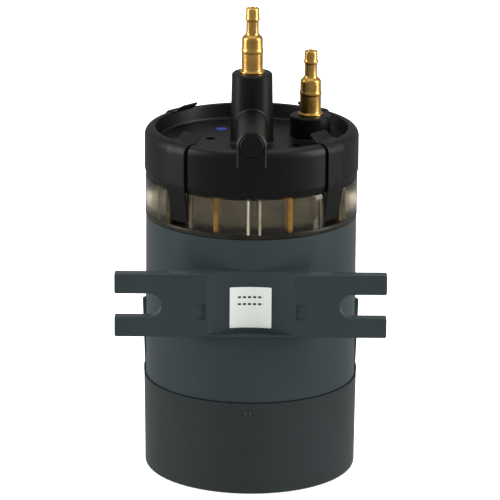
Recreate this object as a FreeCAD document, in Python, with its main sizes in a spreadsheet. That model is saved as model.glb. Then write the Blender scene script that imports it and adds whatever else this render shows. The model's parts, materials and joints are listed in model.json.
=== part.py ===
"""Magnetic system filter: a clip-lid canister with a wall bracket, two hose tails and a pull-out magnet.

Frame: millimetres, +Z up along the canister's axis, origin at the centre of the base, bracket towards -Y.
"""
import FreeCAD, Part
import Sketcher
import math
import os
import re

Vector = FreeCAD.Vector
Rotation = FreeCAD.Rotation

SIZES = {
    # bottom cup
    "cup_base_radius": 55.65,
    "cup_rim_radius": 56.25,
    "cup_height": 50.4,
    "cup_bore_radius": 52.1,
    "cup_ledge_radius": 48.9,
    "cup_floor": 5,
    "cup_edge_round": 2,
    "seam_gap": 0.4,
    # canister
    "can_foot_radius": 55.35,
    "can_top_radius": 55.2,
    "can_top": 137.5,
    "can_bore_radius": 51.1,
    "spigot_radius": 51.8,
    "spigot_bottom": 28,
    "spigot_bore_radius": 47.4,
    "can_floor": 32,
    "fin_half_width": 1.5,
    "fin_top": 92,
    "fin_round": 0.5,
    "seal_groove_start": 1,
    "seal_groove_end": 2.6,
    "seal_groove_depth": 1.2,
    "seal_squeeze_gap": 0.3,
    # wall bracket
    "plate_half_width": 69.7,
    "plate_bottom": 87.5,
    "plate_height": 33.6,
    "plate_front": 61.3,
    "plate_back": 55.6,
    "plate_corner_round": 1,
    "plate_edge_round": 0.6,
    "web_half_width": 31,
    "web_root_round": 1.4,
    "slot_radius": 6.15,
    "slot_centre_x": 51.85,
    "hollow_radius": 46.8,
    "hollow_depth": 5.6,
    "hollow_lip": 1.2,
    "label_width": 21.6,
    "label_height": 21.7,
    "label_rise": 3.7,
    "label_gap": 0.02,
    "label_thickness": 0.3,
    "strap_pocket_x": 23.4,
    "strap_pocket_width": 5.7,
    "strap_pocket_height": 8.2,
    "strap_pocket_depth": 0.9,
    "strap_pocket_drop": 3.2,
    # sight ring
    "ring_radius": 55.4,
    "ring_wall": 2.4,
    "ring_inner_radius": 46.9,
    "ring_inner_wall": 1.6,
    "ring_top": 158.6,
    "ring_flange": 2.6,
    "rib_width": 2.6,
    # lid
    "lid_radius": 55.9,
    "lid_foot_radius": 55.1,
    "lid_foot_height": 4,
    "lid_top": 184.1,
    "lid_edge_round": 4.5,
    "rim_inner_round": 0.8,
    "lid_well_round": 1.6,
    "short_boss_foot_round": 1.2,
    "boss_join_round": 1,
    "rim_inner_radius": 50.3,
    "lid_floor": 176,
    "lid_floor_radius": 48.8,
    "lid_floor_thickness": 4,
    "lid_spigot_radius": 46.7,
    "lid_spigot_wall": 3,
    "lid_spigot_depth": 6.5,
    "tall_boss_foot_radius": 11.3,
    "tall_boss_radius": 10.55,
    "tall_boss_top": 212.6,
    "short_boss_x": 30.6,
    "short_boss_y": 9.6,
    "short_boss_foot_radius": 10.7,
    "short_boss_radius": 10.55,
    "short_boss_top": 188,
    "boss_bevel": 0.8,
    "duct_radius": 7.7,
    "duct_axis": 187.4,
    "duct_length": 57.4,
    "duct_bottom": 175.8,
    "duct_bevel": 0.9,
    "plug_radius": 6.2,
    "plug_depth": 6,
    "plug_seal": 1.2,
    "waterway_radius": 3.2,
    "socket_radius": 4.95,
    "socket_depth": 12.4,
    "seal_seat_depth": 1.4,
    "dimple_radius": 2.5,
    "dimple_depth": 2.2,
    "mark_radius": 3.25,
    "mark_thickness": 0.12,
    # hose tails
    "stem_radius": 4.9,
    "stem_length": 12,
    "tail_bore_radius": 2,
    "collar_radius": 6.5,
    "collar_height": 1,
    "thick_radius": 5.5,
    "thick_ridge_radius": 5.75,
    "thick_ridge_height": 11.2,
    "thick_top": 18.4,
    "thin_radius": 3.2,
    "thin_bottom": 20.4,
    "thin_ridge_radius": 3.75,
    "thin_ridge_height": 27.7,
    "ridge_land": 1.2,
    "nose_radius": 3.5,
    "tail_height": 34.3,
    # clips
    "clip_width": 13,
    "clip_thickness": 0.9,
    "clip_pin_radius": 1.2,
    "clip_pin_place": 51.3,
    "clip_pin_height": 143.5,
    "clip_gap": 0.3,
    "clip_kink_height": 162.6,
    "clip_reach": 8.5,
    "clip_flare": 5.2,
    "clip_pocket_width": 14.6,
    "clip_pocket_floor": 140.1,
    "clip_block_width": 19,
    # magnet and its sheath
    "sheath_radius": 11,
    "sheath_bore_radius": 9.5,
    "sheath_top": 126,
    "sheath_flange_radius": 18,
    "sheath_flange": 3,
    "magnet_radius": 8.7,
    "spine_radius": 4,
    "screw_radius": 2,
    "screw_depth": 3,
    "screw_head_radius": 4,
    "magnet_first": 38,
    "magnet_length": 12,
    "pole_thickness": 3,
    # cartridge
    "cartridge_radius": 40,
    "cartridge_floor": 38,
    "cartridge_top": 138,
    "mesh_thickness": 1.2,
    "inlet_tube_radius": 8,
    "spring_radius": 11,
    "spring_wire_radius": 0.9,
}

CLIP_PLACES = {"rear_right": 49.5, "rear_left": 138, "front_left": 226.5, "front_right": 320}
RIB_ANGLES = (209.5, 250.7, 268.4, 274.3, 290.5, 332, 358, 22, 76, 90, 104, 158, 182)
MAGNETS = 5

doc = FreeCAD.newDocument("magnetic_system_filter")


def make_sheet():
    """Put every driving dimension in a spreadsheet cell with an alias."""
    sheet = doc.addObject("Spreadsheet::Sheet", "dims")
    for row, (name, value) in enumerate(SIZES.items(), start=1):
        sheet.set("A%d" % row, name)
        sheet.set("B%d" % row, str(value))
        sheet.setAlias("B%d" % row, name)
    doc.recompute()
    return sheet


sheet = make_sheet()


def bound(text):
    """Write an expression with each dimension's name referring to its cell."""
    return re.sub(r"[a-z][a-z_]+", lambda word: "dims." + word[0] if word[0] in SIZES else word[0], text)


def value(text):
    """Work out an expression of dimensions as a number."""
    result = sheet.evalExpression(text)
    return float(getattr(result, "Value", result))


def new_body(label):
    body = doc.addObject("PartDesign::Body", label)
    body.Label = label
    return body


def origin_plane(body, role):
    return next(item for item in body.Origin.OriginFeatures if item.Role == role)


def new_sketch(body, role, offset=("0", "0", "0")):
    """A sketch on one of the body's origin planes, moved by an offset in the sketch's own directions."""
    sketch = body.newObject("Sketcher::SketchObject", body.Label + "_sketch")
    sketch.AttachmentSupport = [(origin_plane(body, role), "")]
    sketch.MapMode = "FlatFace"
    for letter, text in zip("xyz", offset):
        sketch.setExpression("AttachmentOffset.Base." + letter, bound(text))
    return sketch


def pin_point(sketch, index, end, x, y):
    """Bind a point of the sketch to two expressions; a zero puts it on the sketch's axis."""
    for text, kind, axis in ((x, "DistanceX", -2), (y, "DistanceY", -1)):
        if text == "0":
            sketch.addConstraint(Sketcher.Constraint("PointOnObject", index, end, axis))
            continue
        number = sketch.addConstraint(Sketcher.Constraint(kind, -1, 1, index, end, value(text)))
        sketch.setExpression("Constraints[%d]" % number, bound(text))


def add_polygon(sketch, points):
    """Close a loop of straight lines through points given as pairs of expressions."""
    first = sketch.GeometryCount
    places = [Vector(value(x), value(y), 0) for x, y in points]
    count = len(points)
    for step in range(count):
        sketch.addGeometry(Part.LineSegment(places[step], places[(step + 1) % count]))
    for step in range(count):
        following = first + (step + 1) % count
        sketch.addConstraint(Sketcher.Constraint("Coincident", first + step, 2, following, 1))
    for step, (x, y) in enumerate(points):
        pin_point(sketch, first + step, 1, x, y)


def add_circle(sketch, x, y, radius):
    """Draw a circle whose centre and radius are bound to expressions."""
    centre = Vector(value(x), value(y), 0)
    index = sketch.addGeometry(Part.Circle(centre, Vector(0, 0, 1), value(radius)))
    pin_point(sketch, index, 3, x, y)
    number = sketch.addConstraint(Sketcher.Constraint("Radius", index, value(radius)))
    sketch.setExpression("Constraints[%d]" % number, bound(radius))


def revolve(body, points, kind="PartDesign::Revolution", offset=("0", "0", "0")):
    """Turn an outline of (radius, height) points round the sketch's upright axis."""
    sketch = new_sketch(body, "XZ_Plane", offset)
    add_polygon(sketch, points)
    feature = body.newObject(kind, body.Label + "_turned")
    feature.Profile = sketch
    feature.ReferenceAxis = (sketch, ["V_Axis"])
    feature.Angle = 360
    doc.recompute()
    return feature


def extrude(body, sketch, length, kind="PartDesign::Pad", reverse=False, both_ways=False):
    """Pad or pocket a sketch by a bound length."""
    feature = body.newObject(kind, body.Label + "_extruded")
    feature.Profile = sketch
    feature.setExpression("Length", bound(length))
    feature.Reversed = reverse
    feature.Midplane = both_ways
    doc.recompute()
    return feature


def cut_volume(body, before, what):
    """Stop if a cut has removed nothing."""
    if body.Shape.Volume > before - 0.01:
        raise RuntimeError("%s: %s removed nothing" % (body.Label, what))


def pocket(body, sketch, length, reverse=False, both_ways=False):
    before = body.Shape.Volume
    feature = extrude(body, sketch, length, "PartDesign::Pocket", reverse, both_ways)
    cut_volume(body, before, "pocket")
    return feature


def groove(body, points, offset=("0", "0", "0")):
    before = body.Shape.Volume
    feature = revolve(body, points, "PartDesign::Groove", offset)
    cut_volume(body, before, "groove")
    return feature


def dress(body, kind, size, chosen):
    """Fillet or chamfer the edges of the body's tip that the test function picks."""
    tip = body.Tip
    names = ["Edge%d" % number for number, edge in enumerate(tip.Shape.Edges, start=1) if chosen(edge)]
    if not names:
        raise RuntimeError("%s: no edge to dress" % body.Label)
    feature = body.newObject(kind, body.Label + "_dressed")
    feature.Base = (tip, names)
    feature.setExpression("Radius" if kind == "PartDesign::Fillet" else "Size", bound(size))
    doc.recompute()
    return feature


def ring_edge(radius, height, x="0", y="0"):
    """A test for the level circular edges of one radius, height and centre."""
    wanted = (value(radius), value(height), value(x), value(y))

    def test(edge):
        curve = edge.Curve
        if curve.TypeId != "Part::GeomCircle":
            return False
        found = (curve.Radius, curve.Center.z, curve.Center.x, curve.Center.y)
        return all(abs(a - b) < 0.02 for a, b in zip(found, wanted))

    return test


def box_near(edge, low, high):
    """True if the edge lies within the box between two corners given as expressions."""
    box = edge.BoundBox
    lowest = (box.XMin, box.YMin, box.ZMin)
    highest = (box.XMax, box.YMax, box.ZMax)
    return (all(a > value(b) - 0.1 for a, b in zip(lowest, low))
            and all(a < value(b) + 0.1 for a, b in zip(highest, high)))


def turned_piece(label, points, place=None):
    """A body that is one turned solid, placed by three bound expressions."""
    body = new_body(label)
    revolve(body, points)
    if place:
        bind_place(body, *place)
    return body


def bind_place(item, x, y, z):
    for letter, text in zip("xyz", (x, y, z)):
        item.setExpression("Placement.Base." + letter, bound(text))


def tube(label, inner, outer, bottom, top, place=None):
    """A plain ring or tube."""
    return turned_piece(label, [(inner, bottom), (outer, bottom), (outer, top), (inner, top)], place)


def polar(radius, angle):
    """Expressions for a point at a radius and an angle in degrees from +X."""
    return ("(%s) * %.9f" % (radius, math.cos(math.radians(angle))),
            "(%s) * %.9f" % (radius, math.sin(math.radians(angle))))


def radial_bar(sketch, near, far, width, angle):
    """A rectangle lying along a radius, from one radius to another."""
    across = math.radians(angle)
    corners = []
    for reach, side in ((near, -0.5), (far, -0.5), (far, 0.5), (near, 0.5)):
        x, y = polar(reach, angle)
        corners.append(("%s + (%s) * %.9f" % (x, width, -side * math.sin(across)),
                        "%s + (%s) * %.9f" % (y, width, side * math.cos(across))))
    add_polygon(sketch, corners)


def make_bottom_cup():
    """The grey cup below the seam, with a blind hole for the magnet's screw in its floor."""
    body = new_body("bottom_cup")
    revolve(body, [
        ("0", "0"), ("cup_base_radius", "0"), ("cup_rim_radius", "cup_height - seam_gap"),
        ("cup_bore_radius", "cup_height - seam_gap"), ("cup_bore_radius", "spigot_bottom - 2"),
        ("cup_ledge_radius", "spigot_bottom - 2"), ("cup_ledge_radius", "cup_floor"), ("0", "cup_floor")])
    dress(body, "PartDesign::Fillet", "cup_edge_round", ring_edge("cup_base_radius", "0"))
    groove(body, [
        ("0", "cup_floor - screw_depth"), ("screw_radius + 0.05", "cup_floor - screw_depth"),
        ("screw_radius + 0.05", "cup_floor"), ("0", "cup_floor")])


def make_canister():
    """The canister: shell, wall bracket, label hollow, strap pockets and side fins in one moulding."""
    body = new_body("canister_body")
    revolve(body, [
        ("0", "spigot_bottom"), ("spigot_radius", "spigot_bottom"), ("spigot_radius", "cup_height"),
        ("can_foot_radius", "cup_height"), ("can_top_radius", "can_top"), ("0", "can_top")])
    plate = new_sketch(body, "XY_Plane", ("0", "0", "plate_bottom"))
    add_polygon(plate, [
        ("-plate_half_width", "-plate_front"), ("plate_half_width", "-plate_front"),
        ("plate_half_width", "-plate_back"), ("web_half_width", "-plate_back"),
        ("web_half_width", "-can_bore_radius + 8"), ("-web_half_width", "-can_bore_radius + 8"),
        ("-web_half_width", "-plate_back"), ("-plate_half_width", "-plate_back")])
    extrude(body, plate, "plate_height")
    add_side_fins(body)
    cut_bracket_slots(body)
    round_bracket(body)
    cut_label_hollow(body)
    cut_strap_pockets(body)
    groove(body, [
        ("0", "can_floor"), ("spigot_bore_radius", "can_floor"), ("spigot_bore_radius", "cup_height + 2"),
        ("can_bore_radius", "cup_height + 8"), ("can_bore_radius", "can_top"), ("0", "can_top")])
    groove(body, [
        ("0", "spigot_bottom"), ("sheath_radius + 0.05", "spigot_bottom"),
        ("sheath_radius + 0.05", "can_floor"), ("0", "can_floor")])
    groove(body, [
        ("can_bore_radius + seal_groove_start", "can_top - seal_groove_depth"),
        ("can_bore_radius + seal_groove_end", "can_top - seal_groove_depth"),
        ("can_bore_radius + seal_groove_end", "can_top"),
        ("can_bore_radius + seal_groove_start", "can_top")])


def add_side_fins(body):
    """A slim upright fin on each side, with a catch bump at the seam below it."""
    sketch = new_sketch(body, "XZ_Plane")
    for side in ("", "-"):
        add_polygon(sketch, [
            (side + "(can_foot_radius - 2)", "cup_height"), (side + "(can_foot_radius + 1)", "cup_height"),
            (side + "(can_foot_radius + 1)", "cup_height + 3.6"),
            (side + "(can_foot_radius + 0.5)", "cup_height + 4.4"),
            (side + "(can_foot_radius + 1.7)", "fin_top - 2"), (side + "(can_foot_radius - 2)", "fin_top")])
    extrude(body, sketch, "fin_half_width * 2", both_ways=True)

    def fin_outline(edge):
        box = edge.BoundBox
        reach = max(abs(box.XMin), abs(box.XMax))
        thin = box.YMin > -2 and box.YMax < 2
        proud = reach > value("can_foot_radius") + 0.3 and box.ZMax < value("fin_top") + 0.1
        return thin and proud and box.ZMin > value("cup_height") + 0.1

    dress(body, "PartDesign::Fillet", "fin_round", fin_outline)


def cut_bracket_slots(body):
    """The two U slots, open at the ends of the plate."""
    middle = "plate_bottom + plate_height / 2"
    run = new_sketch(body, "XZ_Plane", ("0", "0", "plate_back - 1"))
    ends = new_sketch(body, "XZ_Plane", ("0", "0", "plate_back - 1"))
    for side in ("", "-"):
        add_polygon(run, [
            (side + "slot_centre_x", middle + " - slot_radius"),
            (side + "(plate_half_width + 1)", middle + " - slot_radius"),
            (side + "(plate_half_width + 1)", middle + " + slot_radius"),
            (side + "slot_centre_x", middle + " + slot_radius")])
        add_circle(ends, side + "slot_centre_x", middle, "slot_radius")
    depth = "plate_front - plate_back + 2"
    pocket(body, run, depth, reverse=True)
    pocket(body, ends, depth, reverse=True)


def round_bracket(body):
    """Soften the plate's corners, its front and back outlines, the web's roots and the fins."""
    front, back = "-plate_front", "-plate_back"
    wide, low, high = "plate_half_width", "plate_bottom", "plate_bottom + plate_height"

    def corner(edge):
        return edge.BoundBox.YLength > 5 and (
            box_near(edge, (wide, front, low), (wide, back, high))
            or box_near(edge, ("-" + wide, front, low), ("-" + wide, back, high)))

    def front_outline(edge):
        return box_near(edge, ("-" + wide, front, low), (wide, front, high))

    def web_root(edge):
        return edge.BoundBox.ZLength > 30 and box_near(
            edge, ("-web_half_width", "-can_foot_radius", low), ("web_half_width", "-40", high))

    dress(body, "PartDesign::Fillet", "plate_corner_round", corner)
    dress(body, "PartDesign::Fillet", "plate_edge_round", front_outline)
    dress(body, "PartDesign::Fillet", "web_root_round", web_root)


def cut_label_hollow(body):
    """The round-backed hollow for the label, closed by a thin lip at the bottom."""
    sketch = new_sketch(body, "XY_Plane", ("0", "0", "plate_bottom + hollow_lip"))
    add_circle(sketch, "0", "-(plate_front + hollow_radius - hollow_depth)", "hollow_radius")
    pocket(body, sketch, "plate_height", reverse=True)


def cut_strap_pockets(body):
    """A ramped pocket each side of the hollow: deep at its inner edge, fading outwards."""
    middle = "plate_bottom + plate_height / 2 - strap_pocket_drop"
    sketch = new_sketch(body, "XY_Plane", ("0", "0", middle + " - strap_pocket_height / 2"))
    for side in ("", "-"):
        add_polygon(sketch, [
            (side + "strap_pocket_x", "-(plate_front + 0.5)"),
            (side + "(strap_pocket_x + strap_pocket_width)", "-(plate_front + 0.5)"),
            (side + "(strap_pocket_x + strap_pocket_width)", "-plate_front"),
            (side + "strap_pocket_x", "-(plate_front - strap_pocket_depth)")])
    pocket(body, sketch, "strap_pocket_height", reverse=True)


def make_label():
    """A thin plate lying in the bracket's hollow, bent to the hollow's radius."""
    centre_y = "-(plate_front + hollow_radius - hollow_depth)"
    rounds = []
    for name, radius in (("label_back", "hollow_radius - label_gap"),
                         ("label_front", "hollow_radius - label_gap - label_thickness")):
        cylinder = doc.addObject("Part::Cylinder", name)
        cylinder.setExpression("Radius", bound(radius))
        cylinder.setExpression("Height", bound("plate_height"))
        bind_place(cylinder, "0", centre_y, "plate_bottom")
        rounds.append(cylinder)
    sheet_tube = doc.addObject("Part::Cut", "label_tube")
    sheet_tube.Base, sheet_tube.Tool = rounds
    window = doc.addObject("Part::Box", "label_window")
    for name, text in (("Length", "label_width"), ("Width", "2 * hollow_depth"), ("Height", "label_height")):
        window.setExpression(name, bound(text))
    bind_place(window, "-label_width / 2", "-plate_front", "plate_bottom + label_rise")
    label = doc.addObject("Part::Common", "label")
    label.Base, label.Tool = sheet_tube, window
    label.Label = "label"
    return label


def make_sight_ring():
    """The clear ring: two walls, a bottom flange, upright ribs and a block with a pocket for each clip."""
    body = new_body("sight_ring")
    inner_face = "ring_inner_radius + ring_inner_wall"
    outer_face = "ring_radius - ring_wall"
    revolve(body, [
        ("ring_inner_radius", "can_top + seal_squeeze_gap"), ("ring_radius", "can_top + seal_squeeze_gap"),
        ("ring_radius", "ring_top"), (outer_face, "ring_top"),
        (outer_face, "can_top + seal_squeeze_gap + ring_flange"),
        (inner_face, "can_top + seal_squeeze_gap + ring_flange"),
        (inner_face, "ring_top"), ("ring_inner_radius", "ring_top")])
    ribs = new_sketch(body, "XY_Plane", ("0", "0", "can_top + 1"))
    for angle in RIB_ANGLES:
        radial_bar(ribs, inner_face + " - 0.6", outer_face + " + 0.6", "rib_width", angle)
    extrude(body, ribs, "ring_top - can_top - 2")
    blocks = new_sketch(body, "XY_Plane", ("0", "0", "can_top + 1"))
    pockets = new_sketch(body, "XY_Plane", ("0", "0", "clip_pocket_floor"))
    for angle in CLIP_PLACES.values():
        radial_bar(blocks, inner_face + " - 0.6", outer_face + " + 0.6", "clip_block_width", angle)
        radial_bar(pockets, "ring_inner_radius + ring_inner_wall - 0.1", "ring_radius + 3",
                   "clip_pocket_width", angle)
    extrude(body, blocks, "ring_top - can_top - 1")
    pocket(body, pockets, "ring_top", reverse=True)


def make_lid():
    """The black lid: rim, floor, two bosses, side duct and the drillings between them."""
    body = new_body("lid")
    revolve(body, [
        ("0", "lid_floor - lid_floor_thickness"),
        ("lid_spigot_radius - lid_spigot_wall", "lid_floor - lid_floor_thickness"),
        ("lid_spigot_radius - lid_spigot_wall", "ring_top - lid_spigot_depth"),
        ("lid_spigot_radius", "ring_top - lid_spigot_depth"), ("lid_spigot_radius", "ring_top + 0.6"),
        ("lid_foot_radius", "ring_top + 0.6"), ("lid_radius", "ring_top + lid_foot_height"),
        ("lid_radius", "lid_top"), ("rim_inner_radius", "lid_top"),
        ("lid_floor_radius", "lid_floor"), ("0", "lid_floor")])
    dress(body, "PartDesign::Fillet", "lid_edge_round", ring_edge("lid_radius", "lid_top"))
    dress(body, "PartDesign::Fillet", "rim_inner_round", ring_edge("rim_inner_radius", "lid_top"))
    dress(body, "PartDesign::Fillet", "lid_well_round", ring_edge("lid_floor_radius", "lid_floor"))
    revolve(body, [
        ("0", "lid_floor - 1"), ("tall_boss_foot_radius", "lid_floor - 1"),
        ("tall_boss_radius", "tall_boss_top - boss_bevel"),
        ("tall_boss_radius - boss_bevel", "tall_boss_top"), ("0", "tall_boss_top")])
    short_place = ("short_boss_x", "0", "-short_boss_y")
    revolve(body, [
        ("0", "lid_floor - 1"), ("short_boss_foot_radius", "lid_floor - 1"),
        ("short_boss_radius", "short_boss_top - boss_bevel"),
        ("short_boss_radius - boss_bevel", "short_boss_top"), ("0", "short_boss_top")], offset=short_place)
    add_duct(body)
    soften_boss_feet(body)
    drill_boss(body, "tall_boss_top", ("0", "0", "0"))
    drill_boss(body, "short_boss_top", short_place)
    drill_duct(body)
    dimples = new_sketch(body, "XY_Plane", ("0", "0", "lid_floor - dimple_depth"))
    add_circle(dimples, "-21.5", "4", "dimple_radius")
    add_circle(dimples, "23", "-9", "dimple_radius")
    pocket(body, dimples, "dimple_depth + 1", reverse=True)


def add_duct(body):
    """The side duct: straight sides and a half-round top, from the tall boss out past the rim."""
    sketch = new_sketch(body, "XZ_Plane")
    centre = Vector(0, value("duct_axis"), 0)
    radius = value("duct_radius")
    bottom = value("duct_bottom")
    arch = Part.ArcOfCircle(Part.Circle(centre, Vector(0, 0, 1), radius), 0, math.pi)
    corners = [Vector(-radius, centre.y, 0), Vector(-radius, bottom, 0),
               Vector(radius, bottom, 0), Vector(radius, centre.y, 0)]
    sketch.addGeometry(arch)
    for start, finish in zip(corners, corners[1:]):
        sketch.addGeometry(Part.LineSegment(start, finish))
    for index in range(3):
        sketch.addConstraint(Sketcher.Constraint("Coincident", index, 2, index + 1, 1))
    sketch.addConstraint(Sketcher.Constraint("Coincident", 3, 2, 0, 1))
    pin_point(sketch, 0, 3, "0", "duct_axis")
    pin_point(sketch, 0, 1, "duct_radius", "duct_axis")
    pin_point(sketch, 2, 1, "-duct_radius", "duct_bottom")
    pin_point(sketch, 3, 1, "duct_radius", "duct_bottom")
    sketch.addConstraint(Sketcher.Constraint("Horizontal", 0, 2, 0, 3))
    extrude(body, sketch, "duct_length")
    front = -value("duct_length")
    axis_height = value("duct_axis")

    def end_arch(edge):
        box = edge.BoundBox
        return abs(box.YMin - front) < 0.01 and abs(box.YMax - front) < 0.01 and box.ZMax > axis_height - 1

    dress(body, "PartDesign::Chamfer", "duct_bevel", end_arch)


def soften_boss_feet(body):
    """Round the joins of the bosses with the lid's floor and with the duct."""
    floor, well = "lid_floor", "lid_floor_radius - 3"
    dress(body, "PartDesign::Fillet", "short_boss_foot_round",
          ring_edge("short_boss_foot_radius - 0.015", floor, "short_boss_x", "short_boss_y"))

    def boss_join(edge):
        low = ("-tall_boss_foot_radius", "-tall_boss_foot_radius", floor)
        high = ("tall_boss_foot_radius", "tall_boss_foot_radius", "duct_axis + duct_radius")
        along_duct = ("-duct_radius", "-(%s)" % well, floor), ("duct_radius", "0", floor)
        seam = edge.BoundBox.XLength < 0.01 and edge.BoundBox.YLength < 0.01
        turned_seam = edge.BoundBox.YLength < 0.01 and edge.BoundBox.ZLength > 5
        return (box_near(edge, low, high) or box_near(edge, *along_duct)) and not (seam or turned_seam)

    dress(body, "PartDesign::Fillet", "boss_join_round", boss_join)


def drill_boss(body, top, offset):
    """The socket, seal seat and waterway down one boss."""
    groove(body, [
        ("0", "lid_floor - lid_floor_thickness"), ("waterway_radius", "lid_floor - lid_floor_thickness"),
        ("waterway_radius", top + " - socket_depth"), ("socket_radius", top + " - socket_depth"),
        ("socket_radius", top + " - seal_seat_depth"), ("collar_radius - 0.3", top + " - seal_seat_depth"),
        ("collar_radius - 0.3", top), ("0", top)], offset)


def drill_duct(body):
    """The waterway along the duct, widened at its end for the plug."""
    for radius, depth in (("waterway_radius", "duct_length"), ("plug_radius + 0.05", "plug_depth")):
        sketch = new_sketch(body, "XZ_Plane", ("0", "0", "duct_length"))
        add_circle(sketch, "0", "duct_axis", radius)
        pocket(body, sketch, depth)


def make_side_plug():
    """The round plug and its seal at the end of the side duct, both turned round the duct's axis."""
    upright = FreeCAD.Placement(Vector(0, 0, 0), Rotation(Vector(1, 0, 0), 90))
    plug = turned_piece("side_port_plug", [
        ("0", "-plug_depth + plug_seal"), ("plug_radius", "-plug_depth + plug_seal"), ("plug_radius", "0"),
        ("plug_radius - 0.5", "0.4"), ("0", "0.4")])
    seal = tube("side_port_seal", "waterway_radius", "plug_radius", "-plug_depth", "-plug_depth + plug_seal")
    for body in (plug, seal):
        body.Placement = upright
        bind_place(body, "0", "-duct_length", "duct_axis")


def make_hose_tail(name, x, y, top):
    """A two-step brass hose tail with a ridge on each step, and the seal under its collar."""
    turned_piece(name + "_fitting", [
        ("tail_bore_radius", "-stem_length"), ("stem_radius", "-stem_length"), ("stem_radius", "0"),
        ("collar_radius", "0"), ("collar_radius", "collar_height"),
        ("thick_radius", "collar_height + 0.6"), ("thick_radius", "thick_ridge_height - 0.8"),
        ("thick_ridge_radius", "thick_ridge_height"),
        ("thick_ridge_radius", "thick_ridge_height + ridge_land"),
        ("thick_radius - 0.1", "thick_ridge_height + ridge_land + 1.4"), ("thick_radius - 0.1", "thick_top"),
        ("nose_radius", "thin_bottom"), ("thin_radius", "thin_bottom + 0.4"),
        ("thin_radius", "thin_ridge_height - 0.4"), ("thin_ridge_radius", "thin_ridge_height"),
        ("thin_ridge_radius", "thin_ridge_height + ridge_land"),
        ("nose_radius", "thin_ridge_height + ridge_land + 1.2"), ("nose_radius - 0.1", "tail_height - 0.5"),
        ("nose_radius - 0.5", "tail_height"), ("tail_bore_radius", "tail_height")], (x, y, top))
    tube(name + "_seal", "stem_radius + 0.1", "collar_radius - 0.35",
         "-seal_seat_depth", "0", (x, y, top))


def make_gaskets():
    tube("lid_seal", "ring_inner_radius + 0.2", "ring_inner_radius + 1.4", "ring_top", "ring_top + 0.6")
    tube("ring_seal", "can_bore_radius + seal_groove_start + 0.05",
         "can_bore_radius + seal_groove_end - 0.05",
         "can_top - seal_groove_depth", "can_top + seal_squeeze_gap")
    tube("cup_seal", "cup_ledge_radius + 0.3", "cup_bore_radius - 0.4", "spigot_bottom - 2", "spigot_bottom")


def make_clip_pins():
    """Four level pins across the ring's pockets, kept as one node of separate solids."""
    pins = []
    for name, angle in CLIP_PLACES.items():
        pin = doc.addObject("Part::Cylinder", "pin_" + name)
        pin.setExpression("Radius", bound("clip_pin_radius"))
        pin.setExpression("Height", bound("clip_pocket_width"))
        turn = Rotation(Vector(0, 0, 1), angle).multiply(Rotation(Vector(1, 0, 0), 90))
        pin.Placement = FreeCAD.Placement(Vector(0, 0, 0), turn)
        x, y = polar("clip_pin_place", angle)
        half = "clip_pocket_width / 2"
        bind_place(pin, "%s + %s * %.9f" % (x, half, -math.sin(math.radians(angle))),
                   "%s + %s * %.9f" % (y, half, math.cos(math.radians(angle))), "clip_pin_height")
        pins.append(pin)
    group = doc.addObject("Part::Compound", "clip_pins")
    group.Label = "clip_pins"
    group.Links = pins


def make_clip(name, angle):
    """A spring clip: eye round its pin, strap leaning out, upright past the lid, over the rim, flared end.

    It is drawn with its pin at the sketch's origin, X outwards and Y up, and stood in place afterwards.
    """
    body = new_body("clip_" + name)
    eye = "(clip_pin_radius + 0.06 + clip_thickness)"
    inner_x = "(lid_radius + clip_gap - clip_pin_place)"
    outer_x = "(lid_radius + clip_gap + clip_thickness - clip_pin_place)"
    kink = "(clip_kink_height - clip_pin_height)"
    under = "(lid_top + clip_gap - clip_pin_height)"
    over = "(lid_top + clip_gap + clip_thickness - clip_pin_height)"
    end_x = "(%s - clip_reach)" % inner_x
    strap = new_sketch(body, "XZ_Plane")
    add_polygon(strap, [
        (eye, "0"), (outer_x, kink), (outer_x, over), (end_x + " + 0.4", over),
        (end_x + " + 0.4 - clip_flare * 0.75", over + " + clip_flare * 0.66"),
        (end_x + " - 0.15 - clip_flare * 0.75", over + " + clip_flare * 0.66 - 0.7"),
        (end_x, under), (inner_x, under), (inner_x, kink), (eye + " - clip_thickness", "0")])
    extrude(body, strap, "clip_width", both_ways=True)
    bends = ((outer_x, over, "lid_edge_round + clip_thickness"), (inner_x, under, "lid_edge_round"),
             (outer_x, kink, "4"), (inner_x, kink, "4"),
             (end_x + " + 0.4", over, "1.2"), (end_x, under, "2"))
    for x, z, radius in bends:
        dress(body, "PartDesign::Fillet", radius, level_edge(x, z))
    roll = new_sketch(body, "XZ_Plane")
    add_circle(roll, "0", "0", eye)
    extrude(body, roll, "clip_width", both_ways=True)
    bore = new_sketch(body, "XZ_Plane")
    add_circle(bore, "0", "0", "clip_pin_radius + 0.06")
    pocket(body, bore, "clip_width + 2", both_ways=True)
    body.Placement = FreeCAD.Placement(Vector(0, 0, 0), Rotation(Vector(0, 0, 1), angle))
    x, y = polar("clip_pin_place", angle)
    bind_place(body, x, y, "clip_pin_height")


def level_edge(x, z):
    """A test for the straight edges across a clip that stand at one point of its outline."""
    wanted = (value(x), value(z))

    def test(edge):
        box = edge.BoundBox
        straight = edge.Curve.TypeId == "Part::GeomLine" and box.YLength > 5
        return straight and abs(box.XMin - wanted[0]) < 0.02 and abs(box.ZMin - wanted[1]) < 0.02

    return test


def make_inspection_mark():
    turned_piece("inspection_mark", [
        ("0", "0"), ("mark_radius", "0"), ("mark_radius", "mark_thickness"), ("0", "mark_thickness")],
                 ("-16", "25", "lid_floor"))


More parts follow.
